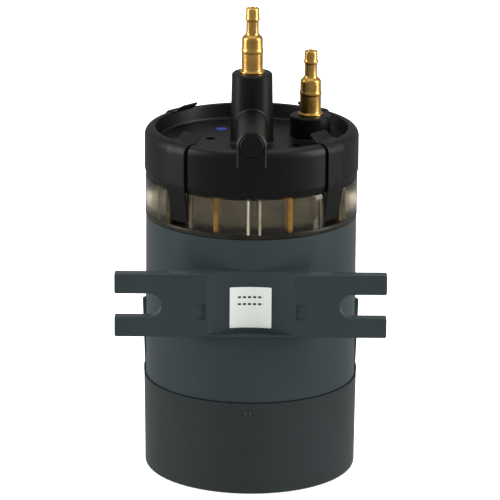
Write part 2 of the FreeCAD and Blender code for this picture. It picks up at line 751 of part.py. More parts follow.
def make_sheath():
    """The dry pocket that the magnet slides into from below, with its seal and nut."""
    turned_piece("magnet_sheath", [
        ("sheath_bore_radius", "spigot_bottom - 5"), ("sheath_radius", "spigot_bottom - 5"),
        ("sheath_radius", "can_floor + 1"), ("sheath_flange_radius", "can_floor + 1"),
        ("sheath_flange_radius", "can_floor + 1 + sheath_flange"),
        ("sheath_radius", "can_floor + 1 + sheath_flange"), ("sheath_radius", "sheath_top - 2"),
        ("sheath_radius - 2", "sheath_top"), ("0", "sheath_top"), ("0", "sheath_top - 2"),
        ("sheath_bore_radius", "sheath_top - 2")])
    tube("sheath_seal", "sheath_radius + 0.1", "sheath_flange_radius - 1", "can_floor", "can_floor + 1")
    tube("sheath_nut", "sheath_radius + 0.05", "sheath_radius + 5", "spigot_bottom - 5", "spigot_bottom")


def make_magnet():
    """The magnet on the cup: spine, five ring magnets between six pole pieces, end cap and screw."""
    last = "(magnet_first + %d * (magnet_length + pole_thickness) + pole_thickness)" % MAGNETS
    hole = "screw_radius + 0.05"
    turned_piece("magnet_spine", [
        (hole, "cup_floor"), ("14", "cup_floor"), ("14", "cup_floor + 3"), ("6", "cup_floor + 5"),
        ("magnet_radius - 1", "cup_floor + 8"), ("magnet_radius - 1", "magnet_first"),
        ("spine_radius", "magnet_first"), ("spine_radius", last), (hole, last)])
    stack_group("magnet_stack", MAGNETS, "magnet_length", "pole_thickness")
    stack_group("pole_pieces", MAGNETS + 1, "pole_thickness", "0")
    turned_piece("magnet_end_cap", [
        (hole, last), ("magnet_radius", last), ("magnet_radius", last + " + 1"),
        ("magnet_radius - 2", last + " + 3"), (hole, last + " + 3")])
    turned_piece("spine_screw", [
        ("0", "cup_floor - screw_depth"), ("screw_radius", "cup_floor - screw_depth"),
        ("screw_radius", last + " + 3"), ("screw_head_radius", last + " + 3"),
        ("screw_head_radius - 0.6", last + " + 5.2"), ("0", last + " + 5.2")])


def stack_group(label, count, height, lift):
    """Equal rings threaded on the spine at the stack's pitch, as one node of separate solids."""
    rings = []
    for step in range(count):
        place = "magnet_first + %s + %d * (magnet_length + pole_thickness)" % (lift, step)
        pair = []
        for kind, radius in (("outside", "magnet_radius"), ("hole", "spine_radius + 0.05")):
            cylinder = doc.addObject("Part::Cylinder", "%s_%s_%d" % (label, kind, step))
            cylinder.setExpression("Radius", bound(radius))
            cylinder.setExpression("Height", bound(height))
            bind_place(cylinder, "0", "0", place)
            pair.append(cylinder)
        ring = doc.addObject("Part::Cut", "%s_ring_%d" % (label, step))
        ring.Base, ring.Tool = pair
        rings.append(ring)
    group = doc.addObject("Part::Compound", label)
    group.Label = label
    group.Links = rings


def make_cartridge():
    """The strainer round the sheath, held down by a coil spring under the lid."""
    under_lid = "lid_floor - lid_floor_thickness"
    tube("cartridge_base", "sheath_flange_radius + 0.3", "cartridge_radius", "can_floor", "cartridge_floor")
    tube("cartridge_mesh", "cartridge_radius - 0.4 - mesh_thickness", "cartridge_radius - 0.4",
         "cartridge_floor", "cartridge_top - 5")
    tube("cartridge_top", "inlet_tube_radius + 0.4", "cartridge_radius",
         "cartridge_top - 5", "cartridge_top")
    tube("inlet_tube", "inlet_tube_radius - 2", "inlet_tube_radius", "cartridge_top - 6", under_lid)
    make_spring("cartridge_top", under_lid)


def make_spring(bottom, top):
    """A coil spring between the cartridge and the lid, kept clear of both by its wire's radius."""
    helix = doc.addObject("Part::Helix", "spring_path")
    helix.setExpression("Radius", bound("spring_radius"))
    helix.setExpression("Height", bound("%s - (%s) - 2.4 * spring_wire_radius" % (top, bottom)))
    helix.setExpression("Pitch", bound("(%s - (%s) - 2.4 * spring_wire_radius) / 5" % (top, bottom)))
    bind_place(helix, "0", "0", bottom + " + 1.2 * spring_wire_radius")
    section = doc.addObject("Part::Circle", "spring_section")
    section.setExpression("Radius", bound("spring_wire_radius"))
    section.Placement = FreeCAD.Placement(Vector(0, 0, 0), Rotation(Vector(1, 0, 0), 90))
    bind_place(section, "spring_radius", "0", bottom + " + 1.2 * spring_wire_radius")
    spring = doc.addObject("Part::Sweep", "cartridge_spring")
    spring.Label = "cartridge_spring"
    spring.Sections = [section]
    spring.Spine = (helix, [])
    spring.Solid = True
    spring.Frenet = True


def build_all():
    make_bottom_cup()
    make_canister()
    make_label()
    make_sight_ring()
    make_lid()
    make_side_plug()
    make_hose_tail("inlet", "0", "0", "tall_boss_top")
    make_hose_tail("outlet", "short_boss_x", "short_boss_y", "short_boss_top")
    make_gaskets()
    make_clip_pins()
    for name, angle in CLIP_PLACES.items():
        make_clip(name, angle)
    make_inspection_mark()
    make_sheath()
    make_magnet()
    make_cartridge()
    doc.recompute()


NODES = (
    "bottom_cup", "canister_body", "label", "sight_ring", "lid", "side_port_plug", "side_port_seal",
    "inlet_fitting", "inlet_seal", "outlet_fitting", "outlet_seal", "lid_seal", "ring_seal", "cup_seal",
    "clip_pins", "clip_rear_right", "clip_rear_left", "clip_front_left", "clip_front_right",
    "inspection_mark", "magnet_sheath", "sheath_seal", "sheath_nut", "magnet_spine", "magnet_stack",
    "pole_pieces", "magnet_end_cap", "spine_screw", "cartridge_base", "cartridge_mesh", "cartridge_top",
    "inlet_tube", "cartridge_spring")


def check_all():
    """Stop unless every object recomputed well and every sub-part has a valid shape."""
    for item in doc.Objects:
        if "Invalid" in item.State or "Error" in item.State:
            raise RuntimeError("%s failed: %s" % (item.Label, item.State))
    for label in NODES:
        shape = doc.getObjectsByLabel(label)[0].Shape
        if shape.isNull() or not shape.isValid():
            raise RuntimeError("%s has a bad shape" % label)


def write_all():
    os.makedirs("parts", exist_ok=True)
    for label in NODES:
        shape = doc.getObjectsByLabel(label)[0].Shape
        shape.exportStep("parts/%s.step" % label)
        print("%-18s solids %d  volume %9.1f mm3" % (label, len(shape.Solids), shape.Volume))


build_all()
check_all()
write_all()
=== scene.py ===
import json
import math

import bpy
import numpy as np
from mathutils import Matrix, Vector


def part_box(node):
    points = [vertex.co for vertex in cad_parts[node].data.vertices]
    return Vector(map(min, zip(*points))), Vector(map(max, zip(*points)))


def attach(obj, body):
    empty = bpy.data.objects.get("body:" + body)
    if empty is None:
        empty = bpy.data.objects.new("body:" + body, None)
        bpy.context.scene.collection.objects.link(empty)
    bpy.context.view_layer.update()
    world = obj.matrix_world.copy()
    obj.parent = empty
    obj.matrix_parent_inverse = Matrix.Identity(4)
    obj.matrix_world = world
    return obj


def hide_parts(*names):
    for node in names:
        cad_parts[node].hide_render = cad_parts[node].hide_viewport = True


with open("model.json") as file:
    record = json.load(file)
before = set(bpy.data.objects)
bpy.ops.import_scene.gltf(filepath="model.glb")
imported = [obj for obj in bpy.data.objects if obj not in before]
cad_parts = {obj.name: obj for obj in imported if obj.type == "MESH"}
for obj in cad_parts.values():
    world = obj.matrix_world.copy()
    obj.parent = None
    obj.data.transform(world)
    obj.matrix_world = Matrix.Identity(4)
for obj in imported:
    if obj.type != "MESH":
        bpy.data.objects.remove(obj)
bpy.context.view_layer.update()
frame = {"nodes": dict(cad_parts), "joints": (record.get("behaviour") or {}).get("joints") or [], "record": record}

nodes = frame["nodes"]
MM = 0.001


# ---------------------------------------------------------------- sizes read from the frame

def box_of(node):
    """Lowest and highest corner of a CAD node, as arrays in metres."""
    low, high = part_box(node)
    return np.array(low), np.array(high)


RING_LOW, RING_HIGH = box_of("sight_ring")
LABEL_LOW, LABEL_HIGH = box_of("label")
JOINTS = {joint["name"]: joint for joint in frame["joints"]}


# ---------------------------------------------------------------- mesh making

def put_mesh(name, points, faces, smooth=True):
    """A mesh object from an array of points and faces, whose corners go anticlockwise seen from outside."""
    mesh = bpy.data.meshes.new(name)
    mesh.from_pydata(points.reshape(-1, 3).tolist(), [], faces)
    mesh.validate()
    mesh.polygons.foreach_set("use_smooth", [smooth] * len(mesh.polygons))
    piece = bpy.data.objects.new(name, mesh)
    bpy.context.scene.collection.objects.link(piece)
    return piece


def grid_faces(rows, columns, wrap_rows=False, wrap_columns=False):
    """Quads between neighbouring points of a rows by columns grid, closed round on either side if asked."""
    row = np.arange(rows if wrap_rows else rows - 1)
    column = np.arange(columns if wrap_columns else columns - 1)
    row, column = np.meshgrid(row, column, indexing="ij")
    next_row, next_column = (row + 1) % rows, (column + 1) % columns
    corners = (row * columns + column, row * columns + next_column,
               next_row * columns + next_column, next_row * columns + column)
    return np.stack(corners, axis=-1).reshape(-1, 4)


def eased(outline, ease, steps=4):
    """Round each corner of a closed outline.

    A corner P between neighbours A and B becomes the quadratic curve from P + e(A - P) through P to
    P + e(B - P), where e keeps the curve within its own ease length and under half of each side.
    """
    corner = np.asarray(outline, float)
    before = np.roll(corner, 1, axis=0) - corner
    after = np.roll(corner, -1, axis=0) - corner
    reach_before = np.minimum(ease, 0.45 * np.linalg.norm(before, axis=1))[:, None]
    reach_after = np.minimum(ease, 0.45 * np.linalg.norm(after, axis=1))[:, None]
    start = corner + before / np.linalg.norm(before, axis=1)[:, None] * reach_before
    end = corner + after / np.linalg.norm(after, axis=1)[:, None] * reach_after
    t = np.linspace(0, 1, steps)[None, :, None]
    curve = (1 - t) ** 2 * start[:, None] + 2 * t * (1 - t) * corner[:, None] + t ** 2 * end[:, None]
    return curve.reshape(-1, 2)


TURN_STEPS = 128


def turned(name, outline, place=(0, 0, 0), turn=None, ease=0.15, corner_steps=4):
    """A closed solid of revolution.

    The outline's (radius, height) points, in millimetres and going anticlockwise, are eased and carried
    round the axis: x = r cos a, y = r sin a, z = h.
    """
    profile = eased(outline, ease, corner_steps) * MM
    angle = np.linspace(0, 2 * math.pi, TURN_STEPS, endpoint=False)[:, None]
    radius, height = profile[None, :, 0], profile[None, :, 1]
    points = np.stack([radius * np.cos(angle), radius * np.sin(angle), height + 0 * angle], axis=-1)
    faces = grid_faces(TURN_STEPS, len(profile), wrap_rows=True, wrap_columns=True)[:, ::-1]
    piece = put_mesh(name, points, faces.tolist())
    piece.data.transform(turn or Matrix.Identity(4))
    piece.data.transform(Matrix.Translation(Vector(place)))
    return piece


STRAP_SECTION_STEPS = 40
STRAP_SQUARENESS = 0.28


def swept(name, path, normals, half_widths, thickness):
    """A flat strap carried along a path.

    At each path point the section is a rounded rectangle: the half width times the side direction plus
    half the thickness times the normal, both shaped by a superellipse: cos and sin to a power under 1.
    """
    turn = np.linspace(0, 2 * math.pi, STRAP_SECTION_STEPS, endpoint=False)
    flat = np.sign(np.cos(turn)) * np.abs(np.cos(turn)) ** STRAP_SQUARENESS
    high = np.sign(np.sin(turn)) * np.abs(np.sin(turn)) ** STRAP_SQUARENESS
    side = np.array([0.0, 1.0, 0.0])
    points = (path[:, None, :]
              + flat[None, :, None] * half_widths[:, None, None] * side
              + high[None, :, None] * normals[:, None, :] * thickness / 2)
    count, ring = points.shape[:2]
    faces = grid_faces(count, ring, wrap_columns=True).tolist()
    faces.append(list(range(ring))[::-1])
    faces.append(list(range((count - 1) * ring, count * ring)))
    return put_mesh(name, points, faces)


def finish_piece(piece, body, slot, material, *replaced):
    """Ride on a body, take a material, and stand for the CAD nodes named. The slot is not used."""
    piece.data.materials.append(material)
    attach(piece, body)
    if replaced:
        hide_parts(*replaced)
    return piece


# ---------------------------------------------------------------- materials

class Finish:
    """A material with one Principled shader, and the patterns that feed it from Object coordinates."""

    def __init__(self, name, colour, roughness, metallic=0.0, specular=0.5, **sockets):
        self.material = bpy.data.materials.new(name)
        self.material.use_nodes = True
        self.tree = self.material.node_tree
        self.shader = self.tree.nodes["Principled BSDF"]
        self.colour = colour
        self.roughness = roughness
        self.set("Base Color", (*colour, 1))
        self.set("Roughness", roughness)
        self.set("Metallic", metallic)
        self.set("Specular IOR Level", specular)
        for socket, setting in sockets.items():
            self.set(socket.replace("_", " "), setting)
        self.coordinates = self.node("ShaderNodeTexCoord").outputs["Object"]
        self.height = None

    def set(self, socket, setting):
        self.shader.inputs[socket].default_value = setting

    def node(self, kind, **settings):
        made = self.tree.nodes.new(kind)
        for key, setting in settings.items():
            setattr(made, key, setting)
        return made

    def link(self, source, target):
        self.tree.links.new(source, target)

    def math(self, operation, first, second=None):
        made = self.node("ShaderNodeMath", operation=operation)
        for socket, source in zip(made.inputs, (first, second)):
            if source is None:
                continue
            if isinstance(source, (int, float)):
                socket.default_value = source
            else:
                self.link(source, socket)
        return made.outputs[0]

    def stretched(self, scale):
        mapping = self.node("ShaderNodeMapping")
        mapping.inputs["Scale"].default_value = scale
        self.link(self.coordinates, mapping.inputs["Vector"])
        return mapping.outputs[0]

    def noise(self, scale, detail=3, stretch=None):
        made = self.node("ShaderNodeTexNoise")
        made.inputs["Scale"].default_value = scale
        made.inputs["Detail"].default_value = detail
        self.link(self.stretched(stretch) if stretch else self.coordinates, made.inputs["Vector"])
        return made.outputs["Fac"]

    def ramp(self, source, stops):
        made = self.node("ShaderNodeValToRGB")
        elements = made.color_ramp.elements
        for index, (position, colour) in enumerate(stops):
            element = elements[index] if index < 2 else elements.new(position)
            element.position = position
            element.color = (*colour, 1)
        self.link(source, made.inputs["Fac"])
        return made.outputs["Color"]

    def shades(self, source, spread, low=0.3, high=0.7):
        """Vary the base colour by a pattern, darker and lighter by the spread."""
        dark = tuple(c * (1 - spread) for c in self.colour)
        light = tuple(min(1, c * (1 + spread)) for c in self.colour)
        self.link(self.ramp(source, ((low, dark), (high, light))), self.shader.inputs["Base Color"])

    def gloss(self, source, spread):
        """Vary the roughness by a pattern."""
        scaled = self.math("MULTIPLY", source, 2 * spread)
        total = self.math("ADD", scaled, self.roughness - spread)
        self.link(total, self.shader.inputs["Roughness"])

    def bump(self, source, distance, strength=1.0):
        """Raise the surface by a pattern, on top of any bump before."""
        made = self.node("ShaderNodeBump")
        made.inputs["Distance"].default_value = distance
        made.inputs["Strength"].default_value = strength
        self.link(source, made.inputs["Height"])
        if self.height:
            self.link(self.height, made.inputs["Normal"])
        self.height = made.outputs["Normal"]
        self.link(self.height, self.shader.inputs["Normal"])


def moulded_plastic(name, colour, roughness, specular, grain=3000, grain_height=0.00002):
    """Moulded plastic: slow colour drift, faint ripple, fine grain and uneven gloss."""
    finish = Finish(name, colour, roughness, specular=specular)
    finish.shades(finish.noise(25, 4), 0.08)
    finish.gloss(finish.noise(90, 5), 0.05)
    finish.bump(finish.noise(40, 2), 0.0001, 0.25)
    finish.bump(finish.noise(grain, 2), grain_height, 0.35)
    return finish.material


def grey_shell():
    return moulded_plastic("grey_shell", (0.034, 0.0475, 0.050), 0.26, 0.34)


def cup_shell():
    return moulded_plastic("cup_shell", (0.025, 0.032, 0.033), 0.27, 0.36)


def black_satin():
    return moulded_plastic("black_satin", (0.0030, 0.0034, 0.0034), 0.40, 0.30, 4200, 0.00003)


def inner_plastic():
    return moulded_plastic("inner_plastic", (0.02, 0.02, 0.019), 0.5, 0.3)


PLASTIC_IOR = 1.49


def smoky_clear():
    """Smoky clear plastic with a little moulding haze."""
    finish = Finish("smoky_clear", (0.60, 0.54, 0.40), 0.10, specular=0.5, IOR=PLASTIC_IOR,
                    Transmission_Weight=1.0)
    finish.gloss(finish.noise(70, 3), 0.03)
    finish.shades(finish.noise(60, 4), 0.12)
    finish.bump(finish.noise(55, 2), 0.0002, 0.3)
    return finish.material


def ring_plastic_painted_copy(name, colour):
    """A copy of the ring's plastic whose colour carries painted light for lit ribs and painted shade for shaded
    walls and ribs: cloudy patches of scale and flow, half clear.
    """
    finish = Finish(name, colour, 0.32, specular=0.4, IOR=PLASTIC_IOR, Transmission_Weight=0.25)
    finish.shades(finish.noise(110, 5), 0.45, 0.35, 0.65)
    finish.gloss(finish.noise(160, 4), 0.1)
    finish.bump(finish.noise(240, 3), 0.00015, 0.4)
    return finish.material


def turned_brass():
    """Turned brass: fine rings from the tool, slight tarnish in patches."""
    finish = Finish("turned_brass", (0.88, 0.49, 0.135), 0.30, metallic=1.0)
    rings = finish.noise(1, 3, stretch=(30, 30, 6000))
    patches = finish.noise(160, 5)
    finish.shades(patches, 0.24)
    finish.gloss(patches, 0.08)
    finish.bump(rings, 0.00003, 0.3)
    return finish.material


def dark_spring():
    """Blackened spring strip: drawn grain, rubbed patches."""
    finish = Finish("dark_spring", (0.009, 0.009, 0.0078), 0.42, metallic=0.3, specular=0.3)
    finish.shades(finish.noise(220, 5), 0.3)
    finish.gloss(finish.noise(300, 4), 0.08)
    finish.bump(finish.noise(1, 3, stretch=(2500, 2500, 160)), 0.00003, 0.35)
    return finish.material


def bare_steel():
    finish = Finish("bare_steel", (0.45, 0.45, 0.44), 0.32, metallic=1.0)
    finish.shades(finish.noise(200, 4), 0.12)
    finish.gloss(finish.noise(150, 3), 0.06)
    finish.bump(finish.noise(1, 2, stretch=(40, 40, 5000)), 0.00003, 0.4)
    return finish.material


def bright_nickel():
    finish = Finish("bright_nickel", (0.66, 0.63, 0.57), 0.14, metallic=1.0)
    finish.shades(finish.noise(120, 3), 0.06)
    finish.gloss(finish.noise(240, 4), 0.04)
    return finish.material


def seal_rubber():
    finish = Finish("seal_rubber", (0.012, 0.012, 0.012), 0.7, specular=0.3)
    finish.shades(finish.noise(300, 3), 0.2)
    finish.bump(finish.noise(2500, 2), 0.00004, 0.4)
    return finish.material


def marker_paint():
    """Blue marker paint: thin at its edge, with brush streaks."""
    finish = Finish("marker_paint", (0.010, 0.035, 0.30), 0.45)
    finish.shades(finish.noise(500, 4, stretch=(1, 3, 1)), 0.3)
    finish.bump(finish.noise(900, 3), 0.00008, 0.5)
    return finish.material


LABEL_STOCK = (0.86, 0.895, 0.84)
LABEL_INK = (0.05, 0.055, 0.055)
# The print, in metres: heights of its rows above the label's middle, half a row's height, the step from one
# dash to the next, a dash's length, half the print's width, and a shift that keeps the modulo positive.
DASH_ROWS = (0.0055, 0.0018)
DASH_HALF_HEIGHT = 0.00055
DASH_PITCH = 0.0026
DASH_LENGTH = 0.0017
PRINT_HALF_WIDTH = 0.0065
PRINT_SHIFT = 0.03


def printed_label():
    """Pale label stock with two rows of plain grey dashes, which stand for its print."""
    finish = Finish("printed_label", (0.60, 0.63, 0.59), 0.5, specular=0.25)
    split = finish.node("ShaderNodeSeparateXYZ")
    finish.link(finish.coordinates, split.inputs[0])
    across = split.outputs["X"]
    height = finish.math("SUBTRACT", split.outputs["Z"], float(LABEL_LOW[2] + LABEL_HIGH[2]) / 2)
    from_row = [finish.math("ABSOLUTE", finish.math("SUBTRACT", height, place)) for place in DASH_ROWS]
    rows = [finish.math("LESS_THAN", distance, DASH_HALF_HEIGHT) for distance in from_row]
    in_row = finish.math("ADD", *rows)
    along = finish.math("MODULO", finish.math("ADD", across, PRINT_SHIFT), DASH_PITCH)
    in_dash = finish.math("LESS_THAN", along, DASH_LENGTH)
    inside = finish.math("LESS_THAN", finish.math("ABSOLUTE", across), PRINT_HALF_WIDTH)
    mark = finish.math("MULTIPLY", finish.math("MULTIPLY", in_row, in_dash), inside)
    paper = finish.noise(700, 4)
    tone = finish.math("SUBTRACT", finish.math("MULTIPLY", paper, 0.10), finish.math("MULTIPLY", mark, 0.5))
    ink_to_stock = finish.ramp(finish.math("ADD", tone, 0.6), ((0.25, LABEL_INK), (0.62, LABEL_STOCK)))
    finish.link(ink_to_stock, finish.shader.inputs["Base Color"])
    finish.bump(paper, 0.00003, 0.4)
    return finish.material


MATERIALS = {
    "grey_plastic": grey_shell(), "cap_plastic": cup_shell(), "black_plastic": black_satin(),
    "clear_ring": smoky_clear(), "brass": turned_brass(), "rubber": seal_rubber(),
    "spring_steel": dark_spring(), "blue_paint": marker_paint(), "label_white": printed_label(),
    "magnet_nickel": bright_nickel(), "bare_steel": bare_steel(),
}
# painted shade: the inner wall is a dark, mostly opaque copy of the clear ring plastic
RING_INNER_PAINTED_SHADE = ring_plastic_painted_copy("ring_inner_wall", (0.075, 0.062, 0.034))
# painted shade: the foot is a near-black copy of the clear ring plastic
RING_FOOT_PAINTED_SHADE = ring_plastic_painted_copy("ring_foot_painted_shade", (0.020, 0.017, 0.008))
# painted light: the pale ribs are a cream copy of the clear plastic, standing for light caught in the ribs
RING_PALE_PAINTED_LIGHT = ring_plastic_painted_copy("ring_pale_rib_painted_light", (0.92, 0.85, 0.60))
# painted light: the amber ribs are a bright copy of the clear plastic, standing for light passing through them
RING_AMBER_PAINTED_LIGHT = ring_plastic_painted_copy("ring_amber_rib_painted_light", (0.62, 0.33, 0.030))
# painted shade: the olive ribs and pocket cheeks are a darker copy of the clear plastic
RING_OLIVE_PAINTED_SHADE = ring_plastic_painted_copy("ring_olive_rib_painted_shade", (0.20, 0.17, 0.09))


def dress_cad_nodes():
    """Give every CAD node the material of its slot, and inner mouldings their own dull plastic."""
    inner = inner_plastic()
    for entry in frame["record"]["subparts"]:
        node = nodes[entry["node"]]
        material = MATERIALS[entry["material_slot"]]
        is_inner = entry["node"].startswith(("cartridge", "inlet_tube"))
        if is_inner and entry["material_slot"] == "black_plastic":
            material = inner
        node.data.materials.clear()
        node.data.materials.append(material)


# ---------------------------------------------------------------- pieces

# Outline of a hose tail above its boss, anticlockwise from the foot of its bore: (radius, height) in mm.
HOSE_TAIL = (
    (2.0, -12.0), (4.9, -12.0), (4.9, 0.0), (6.5, 0.0), (6.5, 1.0), (5.7, 1.2), (5.5, 1.7), (5.5, 10.6),
    (5.75, 11.1), (5.75, 12.3), (5.45, 12.8), (5.4, 18.1), (5.1, 18.8), (3.6, 20.2), (3.25, 20.9),
    (3.2, 27.2), (3.72, 27.7), (3.72, 28.8), (3.42, 29.4), (3.4, 33.6), (3.0, 34.2),
    (2.3, 34.28), (2.0, 33.9))
TAIL_HEIGHT = 34.3


def make_hose_tails():
    for name in ("inlet", "outlet"):
        low, high = box_of(name + "_fitting")
        foot = ((low[0] + high[0]) / 2, (low[1] + high[1]) / 2, high[2] - TAIL_HEIGHT * MM)
        tail = turned(name + "_hose_tail", HOSE_TAIL, foot, ease=0.3, corner_steps=5)
        finish_piece(tail, "canister", "brass", MATERIALS["brass"], name + "_fitting")


# The clips, in mm and degrees, in each strap's own plane: X outwards from the pin, Y up.
CLIP_THICKNESS = 0.9
CLIP_WIDTH = 13.0
PIN_RADIUS = 1.2
PIN_GAP = 0.06
CURL_TURN = 285
KINK = (5.35, 19.0)
RIM_CROSSING = 41.15
HOOK = (-3.1, -0.35)
FLARE = (-7.2, 3.3)
BEND_RADII = (6.0, 5.0, 2.2)
PATH_STEP = 0.8
# Share of the full width round the pin, and how much and how far from the end the flared corners draw in.
PIN_SHARE = 0.88
CORNER_DRAW = 0.9
CORNER_LENGTH = 1.6
ARC_STEPS = 14


def rounded_path(corners, radii):
    """A path of straight runs with each inner corner turned by an arc of its own radius.

    An arc leaves its first run at radius times tan of half the turn before the corner, and is worked out
    as the corner's circle: centre plus radius times (cos, sin) of an even fan of angles.
    """
    corners = np.asarray(corners, float)
    path = [corners[:1]]
    for before, corner, after, radius in zip(corners, corners[1:], corners[2:], radii):
        into = (corner - before) / np.linalg.norm(corner - before)
        out = (after - corner) / np.linalg.norm(after - corner)
        turn = math.atan2(into[0] * out[1] - into[1] * out[0], into @ out)
        start = corner - into * radius * math.tan(abs(turn) / 2)
        normal = np.array([-into[1], into[0]]) * math.copysign(1, turn)
        centre = start + normal * radius
        first = math.atan2(*(start - centre)[::-1])
        fan = first + np.linspace(0, turn, ARC_STEPS)
        path.append(centre + radius * np.stack([np.cos(fan), np.sin(fan)], axis=-1))
    path.append(corners[-1:])
    return np.concatenate(path)


def refined(path, step):
    """Add points along a path so that no run is longer than the step."""
    lengths = np.linalg.norm(np.diff(path, axis=0), axis=1)
    along = np.concatenate([[0], np.cumsum(lengths)])
    extra = np.linspace(0, along[-1], int(along[-1] / step) + 2)
    where = np.unique(np.round(np.concatenate([along, extra]), 6))
    return np.stack([np.interp(where, along, path[:, axis]) for axis in (0, 1)], axis=-1)


def clip_centre_line():
    """The strap's centre line in its own plane: round the pin, up and out, over the rim, and flared.

    It leaves the pin's circle along the tangent to the kink.
    """
    wrap = PIN_RADIUS + PIN_GAP + CLIP_THICKNESS / 2
    leave = math.atan2(KINK[1], KINK[0]) - math.acos(wrap / np.linalg.norm(KINK))
    fan = leave + np.linspace(-math.radians(CURL_TURN), 0, 40)
    curl = wrap * np.stack([np.cos(fan), np.sin(fan)], axis=-1)
    strap = rounded_path([curl[-1], KINK, (KINK[0], RIM_CROSSING), (HOOK[0], RIM_CROSSING + HOOK[1]),
                          (FLARE[0], RIM_CROSSING + FLARE[1])], BEND_RADII)
    return refined(np.concatenate([curl[:-1], strap]), PATH_STEP)


def make_clips():
    """Four blackened strips, each turned from its own plane to its hinge's place and direction."""
    line = clip_centre_line()
    tangent = np.gradient(line, axis=0)
    tangent /= np.linalg.norm(tangent, axis=1)[:, None]
    normal = np.stack([-tangent[:, 1], 0 * tangent[:, 0], tangent[:, 0]], axis=-1)
    path = np.stack([line[:, 0], 0 * line[:, 0], line[:, 1]], axis=-1)
    # narrower round the pin, full width from the kink up, and corners drawn in at the flared end
    rise = np.clip(line[:, 1] / KINK[1], 0, 1)
    half = CLIP_WIDTH / 2 * (PIN_SHARE + (1 - PIN_SHARE) * rise * rise * (3 - 2 * rise))
    left = np.linalg.norm(line - line[-1], axis=1)
    half -= CORNER_DRAW * (1 - np.sqrt(np.clip(left / CORNER_LENGTH, 0, 1)))
    for body in ("clip_front_left", "clip_front_right", "clip_rear_left", "clip_rear_right"):
        pin = np.array(JOINTS[body + "_hinge"]["pos_m"])
        angle = math.atan2(pin[1], pin[0])
        clip = swept(body + "_strip", path * MM, normal, half * MM, CLIP_THICKNESS * MM)
        clip.data.transform(Matrix.Translation(Vector(pin)) @ Matrix.Rotation(angle, 4, "Z"))
        finish_piece(clip, body, "spring_steel", MATERIALS["spring_steel"], body)


LABEL_BACK_RADIUS = 46.78
LABEL_FRONT_RADIUS = 46.5
LABEL_HALF_WIDTH = 10.8
LABEL_CORNER = 0.25
LABEL_THICKNESS = 0.22


def make_label():
    """A square label bent to the hollow behind it.

    A point u across and v up lies on a circle of radius R about the hollow's axis: x = R sin(u / R),
    y = centre + R cos(u / R), z = middle + v. Near a corner the row draws in along a small arc.
    """
    rows, columns = 60, 60
    half_height = (LABEL_HIGH[2] - LABEL_LOW[2]) / 2 / MM
    up = np.linspace(-half_height, half_height, rows)[:, None]
    into = np.clip(LABEL_CORNER - (half_height - np.abs(up)), 0, LABEL_CORNER)
    reach = LABEL_HALF_WIDTH - LABEL_CORNER + np.sqrt(LABEL_CORNER ** 2 - into ** 2)
    across = np.linspace(-1, 1, columns)[None, :] * reach
    centre = LABEL_HIGH[1] / MM - LABEL_BACK_RADIUS
    x = LABEL_FRONT_RADIUS * np.sin(across / LABEL_FRONT_RADIUS)
    y = centre + LABEL_FRONT_RADIUS * np.cos(across / LABEL_FRONT_RADIUS) + 0 * up
    z = up + (LABEL_LOW[2] + LABEL_HIGH[2]) / 2 / MM + 0 * across
    label = put_mesh("label_sheet", np.stack([x, y, z], axis=-1) * MM, grid_faces(rows, columns).tolist())
    skin = label.modifiers.new("thickness", "SOLIDIFY")
    skin.thickness = LABEL_THICKNESS * MM
    finish_piece(label, "canister", "label_white", MATERIALS["label_white"], "label")


PLUG_DEPTH = 4.8
PLUG_CHAMFER = 0.5
PLUG_PROUD = 0.35


def make_plug():
    """The side duct's round plug, with a chamfered face."""
    low, high = box_of("side_port_plug")
    radius = (high[0] - low[0]) / 2 / MM
    outline = ((0.001, -PLUG_DEPTH), (radius, -PLUG_DEPTH), (radius, -0.2),
               (radius - PLUG_CHAMFER, PLUG_PROUD), (0.001, PLUG_PROUD))
    place = (0, high[1] - PLUG_DEPTH * MM, (low[2] + high[2]) / 2)
    plug = turned("side_plug", outline, place, Matrix.Rotation(math.pi / 2, 4, "X"), ease=0.25)
    finish_piece(plug, "canister", "black_plastic", MATERIALS["black_plastic"], "side_port_plug")


def make_paint_mark():
    """A dab of paint: a low dome whose edge wanders, r = R(1 + 0.05 sin 3a + 0.03 sin 5a)."""
    low, high = box_of("inspection_mark")
    centre = (low + high) / 2
    rows, columns = 12, 72
    angle = np.linspace(0, 2 * math.pi, columns, endpoint=False)[None, :]
    out = np.linspace(0.02, 1, rows)[:, None]
    radius = (high[0] - low[0]) / 2 * 0.94 * out * (1 + 0.05 * np.sin(3 * angle) + 0.03 * np.sin(5 * angle))
    height = low[2] + (high[2] - low[2]) * (1 - out ** 4) + 0 * angle
    x = centre[0] + radius * np.cos(angle)
    y = centre[1] + radius * np.sin(angle)
    points = np.stack([x, y, height], axis=-1)
    faces = grid_faces(rows, columns, wrap_columns=True)[:, ::-1].tolist()
    faces += [list(range(columns)), list(range((rows - 1) * columns, rows * columns))[::-1]]
    dab = put_mesh("paint_dab", points, faces)
    finish_piece(dab, "canister", "blue_paint", MATERIALS["blue_paint"], "inspection_mark")


RING_WALL = 2.4
RING_INNER_RADIUS = 46.9
RING_INNER_WALL = 1.6
RING_FOOT_HEIGHT = 2.6
POCKET_HALF_WIDTH = 7.3
CHEEK = 2.2
# How far the ribs run into the walls and foot, how far they stop below the top, and how far the pale
# ones stand out.
RIB_OVERLAP = 0.3
RIB_TOP_GAP = 0.4
PALE_RIB_PROUD = 0.02
